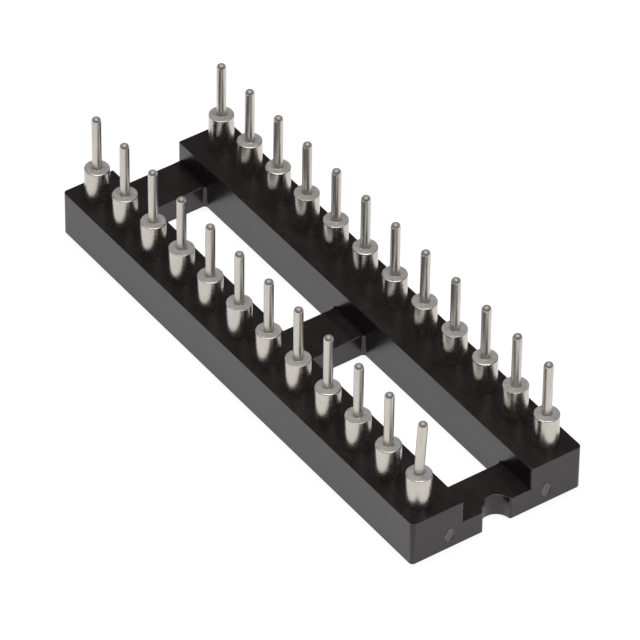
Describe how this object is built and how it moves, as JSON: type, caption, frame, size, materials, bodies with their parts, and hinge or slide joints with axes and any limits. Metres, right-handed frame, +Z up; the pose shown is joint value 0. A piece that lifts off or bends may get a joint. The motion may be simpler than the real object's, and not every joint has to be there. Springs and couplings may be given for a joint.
{
  "type": "ic socket",
  "caption": "Dual-in-line socket for an integrated circuit: open-frame black insulator with rows of turned contacts, lying on its contact face with the solder tails up.",
  "frame": {"origin": "middle of the contact face, on which the socket lies", "axes": "+X along the rows towards the notched end, +Y across the rows, +Z up towards the tips of the tails"},
  "size_m": [0.0304, 0.0102, 0.0077],
  "materials": {
    "insulator": "black glass-filled plastic, moulded smooth, with a soft gloss",
    "sleeve": "turned brass under bright tin plate, with fine turning lines",
    "clip": "thin spring sheet under gold plate"
  },
  "bodies": {
    "root": {"insulator": "insulator", "sleeve_01": "sleeve", "sleeve_02": "sleeve", "sleeve_03": "sleeve", "sleeve_04": "sleeve", "sleeve_05": "sleeve", "sleeve_06": "sleeve", "sleeve_07": "sleeve", "sleeve_08": "sleeve", "sleeve_09": "sleeve", "sleeve_10": "sleeve", "sleeve_11": "sleeve", "sleeve_12": "sleeve", "sleeve_13": "sleeve", "sleeve_14": "sleeve", "sleeve_15": "sleeve", "sleeve_16": "sleeve", "sleeve_17": "sleeve", "sleeve_18": "sleeve", "sleeve_19": "sleeve", "sleeve_20": "sleeve", "sleeve_21": "sleeve", "sleeve_22": "sleeve", "sleeve_23": "sleeve", "sleeve_24": "sleeve", "clip_01": "clip", "clip_02": "clip", "clip_03": "clip", "clip_04": "clip", "clip_05": "clip", "clip_06": "clip", "clip_07": "clip", "clip_08": "clip", "clip_09": "clip", "clip_10": "clip", "clip_11": "clip", "clip_12": "clip", "clip_13": "clip", "clip_14": "clip", "clip_15": "clip", "clip_16": "clip", "clip_17": "clip", "clip_18": "clip", "clip_19": "clip", "clip_20": "clip", "clip_21": "clip", "clip_22": "clip", "clip_23": "clip", "clip_24": "clip"}
  },
  "joints": []
}
